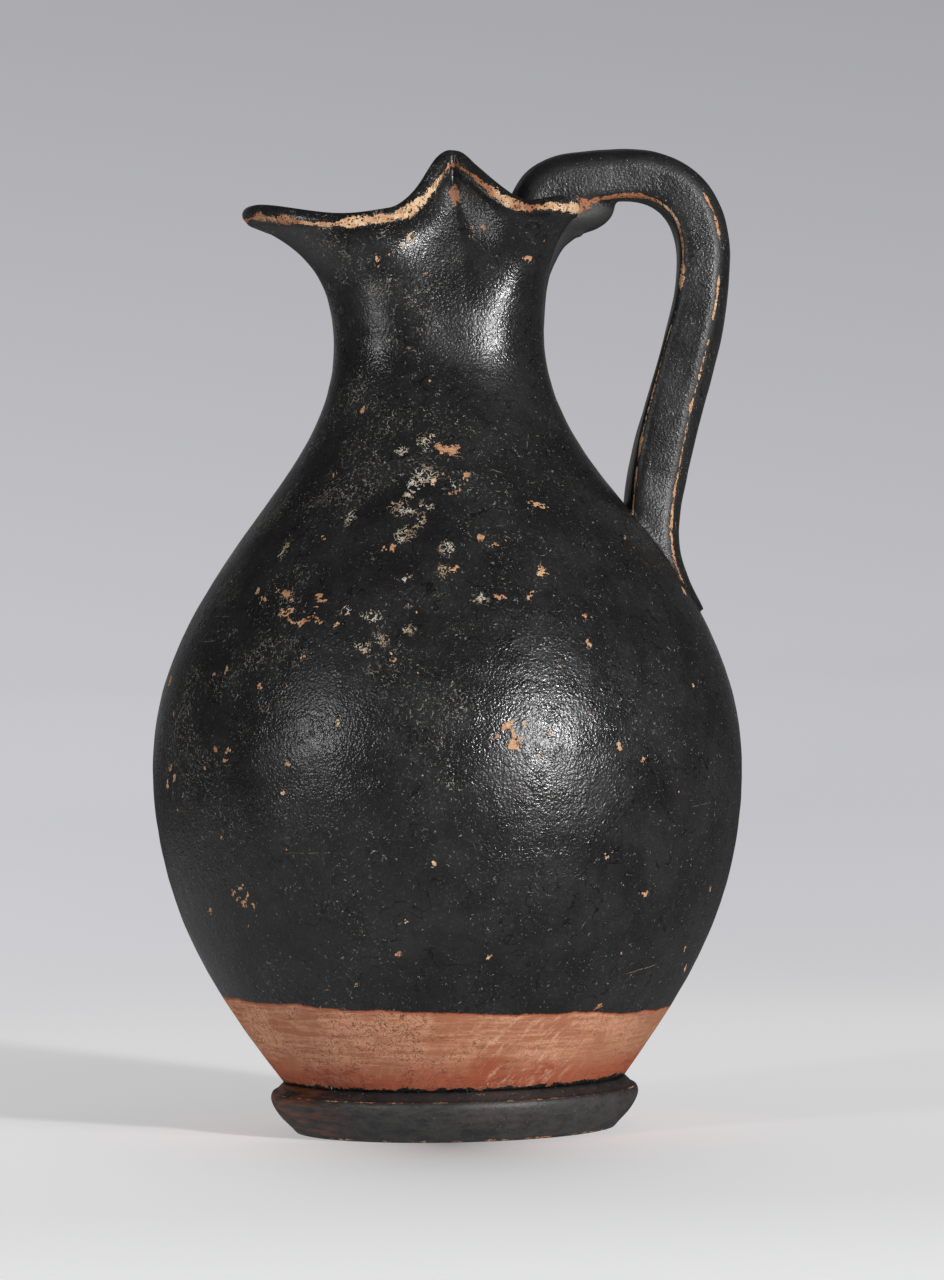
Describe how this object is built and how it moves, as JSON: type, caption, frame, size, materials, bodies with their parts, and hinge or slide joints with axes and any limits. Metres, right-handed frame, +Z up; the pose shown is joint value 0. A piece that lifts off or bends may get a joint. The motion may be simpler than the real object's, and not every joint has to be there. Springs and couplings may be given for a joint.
{
  "type": "trefoil oinochoe",
  "caption": "Black-glazed pottery wine jug with an egg-shaped body, ring foot, three-lobed pinched mouth with a long spout, and a high strap handle.",
  "frame": {"origin": "on the jug's axis in the plane that the foot stands on", "axes": "+Z up along the axis, -X towards the spout, +X towards the handle"},
  "size_m": [0.1202, 0.1202, 0.1991],
  "materials": {
    "glazed_wall": "satin black glaze over orange-buff clay, chipped and crackled, with a bare clay band above the foot",
    "glazed_handle": "satin black glaze worn to buff clay along the edges",
    "glazed_foot": "thin black glaze with brown streaks, bare clay underneath"
  },
  "bodies": {
    "root": {"foot": "glazed_foot", "body_wall": "glazed_wall", "neck_and_mouth": "glazed_wall", "strap_handle": "glazed_handle", "upper_handle_pad": "glazed_handle", "handle_root_luting": "glazed_handle"}
  },
  "joints": []
}
